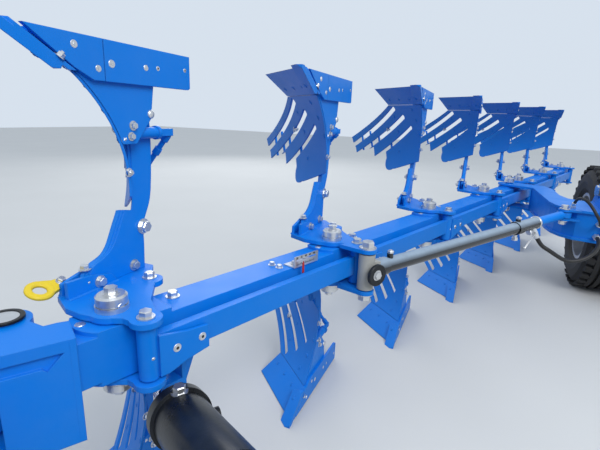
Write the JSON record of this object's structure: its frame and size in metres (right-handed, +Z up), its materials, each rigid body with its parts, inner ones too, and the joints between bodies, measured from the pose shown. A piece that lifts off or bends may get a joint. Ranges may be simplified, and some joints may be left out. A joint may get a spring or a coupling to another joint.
{
  "type": "moldboard plough",
  "caption": "Reversible moldboard plough with slatted bodies above and below a slanted beam, an adjustable working width, a turnover headstock, a parking stand and a swing-arm support wheel.",
  "frame": {"origin": "middle of the whole plough on the ground, with share points, wheel and stand at 0", "axes": "+X is the direction of travel, +Y is to the left of travel, +Z is up"},
  "size_m": [8.4027, 3.1315, 1.738],
  "materials": {
    "blue_paint": "gloss bright blue enamel",
    "zinc_steel": "satin zinc plating",
    "yellow_paint": "gloss yellow enamel",
    "cast_grey": "bare grey casting",
    "black_paint": "gloss black enamel",
    "tyre_rubber": "black rubber"
  },
  "bodies": {
    "main_beam": {"beam": "blue_paint", "front_box": "blue_paint", "width_scale": "zinc_steel"},
    "front_frame": {"turnover_frame": "blue_paint"},
    "parallel_bar": {"control_bar": "blue_paint"},
    "unit_1": {"bracket_1": "blue_paint", "legs_1": "blue_paint", "boards_1": "blue_paint", "shares_1": "blue_paint", "landsides_1": "blue_paint", "lashing_ring": "yellow_paint"},
    "unit_2": {"bracket_2": "blue_paint", "legs_2": "blue_paint", "boards_2": "blue_paint", "shares_2": "blue_paint", "landsides_2": "blue_paint"},
    "unit_3": {"bracket_3": "blue_paint", "legs_3": "blue_paint", "boards_3": "blue_paint", "shares_3": "blue_paint", "landsides_3": "blue_paint"},
    "unit_4": {"bracket_4": "blue_paint", "legs_4": "blue_paint", "boards_4": "blue_paint", "shares_4": "blue_paint", "landsides_4": "blue_paint"},
    "unit_5": {"bracket_5": "blue_paint", "legs_5": "blue_paint", "boards_5": "blue_paint", "shares_5": "blue_paint", "landsides_5": "blue_paint"},
    "unit_6": {"bracket_6": "blue_paint", "legs_6": "blue_paint", "boards_6": "blue_paint", "shares_6": "blue_paint", "landsides_6": "blue_paint"},
    "unit_7": {"bracket_7": "blue_paint", "legs_7": "blue_paint", "boards_7": "blue_paint", "shares_7": "blue_paint", "landsides_7": "blue_paint"},
    "memory_tube": {"memory_barrel": "black_paint"},
    "memory_piston": {"memory_rod": "zinc_steel"},
    "headstock": {"turnover_head": "blue_paint"},
    "parking_stand": {"stand_leg": "blue_paint"},
    "steering_yoke": {"swivel_yoke": "blue_paint"},
    "hitch_shaft": {"cross_shaft": "zinc_steel"},
    "strut_tube": {"strut_mount": "cast_grey", "strut_barrel": "black_paint"},
    "strut_piston": {"strut_rod": "blue_paint"},
    "neck": {"wheel_neck": "blue_paint"},
    "lift_tube": {"lift_barrel": "black_paint"},
    "lift_piston": {"lift_rod": "zinc_steel"},
    "wheel_carrier": {"wheel_arm": "blue_paint"},
    "wheel": {"rim": "zinc_steel", "tyre": "tyre_rubber"}
  },
  "joints": [
    {"name": "working_width", "type": "hinge", "parent": "main_beam", "child": "front_frame", "pos_m": [2.818, -0.96, 0.869], "axis": [0, 0, 1], "range_deg": [-1.4, 10.4]},
    {"name": "unit_1_turn", "type": "hinge", "parent": "main_beam", "child": "unit_1", "pos_m": [2.638, -0.76, 0.869], "axis": [0, 0, 1], "range_deg": [-1.6, 10.6]},
    {"name": "unit_2_turn", "type": "hinge", "parent": "main_beam", "child": "unit_2", "pos_m": [1.63939, -0.43553, 0.869], "axis": [0, 0, 1], "range_deg": [-1.6, 10.6]},
    {"name": "unit_3_turn", "type": "hinge", "parent": "main_beam", "child": "unit_3", "pos_m": [0.64078, -0.11106, 0.869], "axis": [0, 0, 1], "range_deg": [-1.6, 10.6]},
    {"name": "unit_4_turn", "type": "hinge", "parent": "main_beam", "child": "unit_4", "pos_m": [-0.35783, 0.2134, 0.869], "axis": [0, 0, 1], "range_deg": [-1.6, 10.6]},
    {"name": "unit_5_turn", "type": "hinge", "parent": "main_beam", "child": "unit_5", "pos_m": [-1.35644, 0.53787, 0.869], "axis": [0, 0, 1], "range_deg": [-1.6, 10.6]},
    {"name": "unit_6_turn", "type": "hinge", "parent": "main_beam", "child": "unit_6", "pos_m": [-2.35505, 0.86234, 0.869], "axis": [0, 0, 1], "range_deg": [-1.6, 10.6]},
    {"name": "unit_7_turn", "type": "hinge", "parent": "main_beam", "child": "unit_7", "pos_m": [-3.35366, 1.18681, 0.869], "axis": [0, 0, 1], "range_deg": [-1.6, 10.6]},
    {"name": "bar_turn", "type": "hinge", "parent": "unit_1", "child": "parallel_bar", "pos_m": [2.63642, -0.63541, 0.869], "axis": [0, 0, 1], "range_deg": [-10.6, 1.6]},
    {"name": "neck_turn", "type": "hinge", "parent": "main_beam", "child": "neck", "pos_m": [-1.052, 0.439, 0.869], "axis": [0, 0, 1], "range_deg": [-1.6, 10.6]},
    {"name": "strut_tube_turn", "type": "hinge", "parent": "unit_2", "child": "strut_tube", "pos_m": [1.69339, -0.24553, 0.869], "axis": [0, 0, 1], "range_deg": [-14.97, 2.19]},
    {"name": "strut_piston_slide", "type": "slide", "parent": "strut_tube", "child": "strut_piston", "axis": [-0.8464, 0.5312, 0.0377], "range_m": [-0.0212, 0.1449]},
    {"name": "memory_tube_turn", "type": "hinge", "parent": "front_frame", "child": "memory_tube", "pos_m": [2.874, -0.143, 0.769], "axis": [0, 0, 1], "range_deg": [-0.31, 1.05]},
    {"name": "memory_piston_slide", "type": "slide", "parent": "memory_tube", "child": "memory_piston", "axis": [-0.5397, -0.8011, -0.2587], "range_m": [-0.0732, 0.0116]},
    {"name": "turnover", "type": "hinge", "parent": "front_frame", "child": "headstock", "pos_m": [3.258, -0.48, 0.869], "axis": [1, 0, 0], "range_deg": [0, 180]},
    {"name": "stand_slide", "type": "slide", "parent": "headstock", "child": "parking_stand", "axis": [0, 0, 1], "range_m": [0, 0.45]},
    {"name": "yoke_swing", "type": "hinge", "parent": "headstock", "child": "steering_yoke", "pos_m": [3.948, -0.48, 0.869], "axis": [0, 0, 1], "range_deg": [-60, 60]},
    {"name": "hitch_pitch", "type": "hinge", "parent": "steering_yoke", "child": "hitch_shaft", "pos_m": [4.138, -0.48, 0.869], "axis": [0, 1, 0], "range_deg": [-30, 30]},
    {"name": "wheel_lift", "type": "hinge", "parent": "neck", "child": "wheel_carrier", "pos_m": [-0.292, 1.03, 0.809], "axis": [0, 1, 0], "range_deg": [-25, 16]},
    {"name": "lift_tube_turn", "type": "hinge", "parent": "neck", "child": "lift_tube", "pos_m": [0.118, 1.03, 1.069], "axis": [0, 1, 0], "range_deg": [-8.37, 5.43]},
    {"name": "lift_piston_slide", "type": "slide", "parent": "lift_tube", "child": "lift_piston", "axis": [-0.9995, 0, -0.0328], "range_m": [-0.0677, 0.1047]},
    {"name": "wheel_spin", "type": "hinge", "parent": "wheel_carrier", "child": "wheel", "pos_m": [-1.304, 1.341, 0.59], "axis": [0, 1, 0], "continuous": true}
  ],
  "couplings": [
    {"joint": "unit_1_turn", "follows": "working_width", "ratio": 1},
    {"joint": "unit_2_turn", "follows": "working_width", "ratio": 1},
    {"joint": "unit_3_turn", "follows": "working_width", "ratio": 1},
    {"joint": "unit_4_turn", "follows": "working_width", "ratio": 1},
    {"joint": "unit_5_turn", "follows": "working_width", "ratio": 1},
    {"joint": "unit_6_turn", "follows": "working_width", "ratio": 1},
    {"joint": "unit_7_turn", "follows": "working_width", "ratio": 1},
    {"joint": "bar_turn", "follows": "working_width", "ratio": -1},
    {"joint": "neck_turn", "follows": "working_width", "ratio": 1},
    {"joint": "strut_tube_turn", "follows": "working_width", "ratio": -1.4201},
    {"joint": "strut_piston_slide", "follows": "working_width", "m_per_rad": 0.7873},
    {"joint": "memory_tube_turn", "follows": "working_width", "ratio": 0.0816},
    {"joint": "memory_piston_slide", "follows": "working_width", "m_per_rad": -0.3924},
    {"joint": "lift_tube_turn", "follows": "wheel_lift", "ratio": 0.3269},
    {"joint": "lift_piston_slide", "follows": "wheel_lift", "m_per_rad": -0.2353}
  ]
}
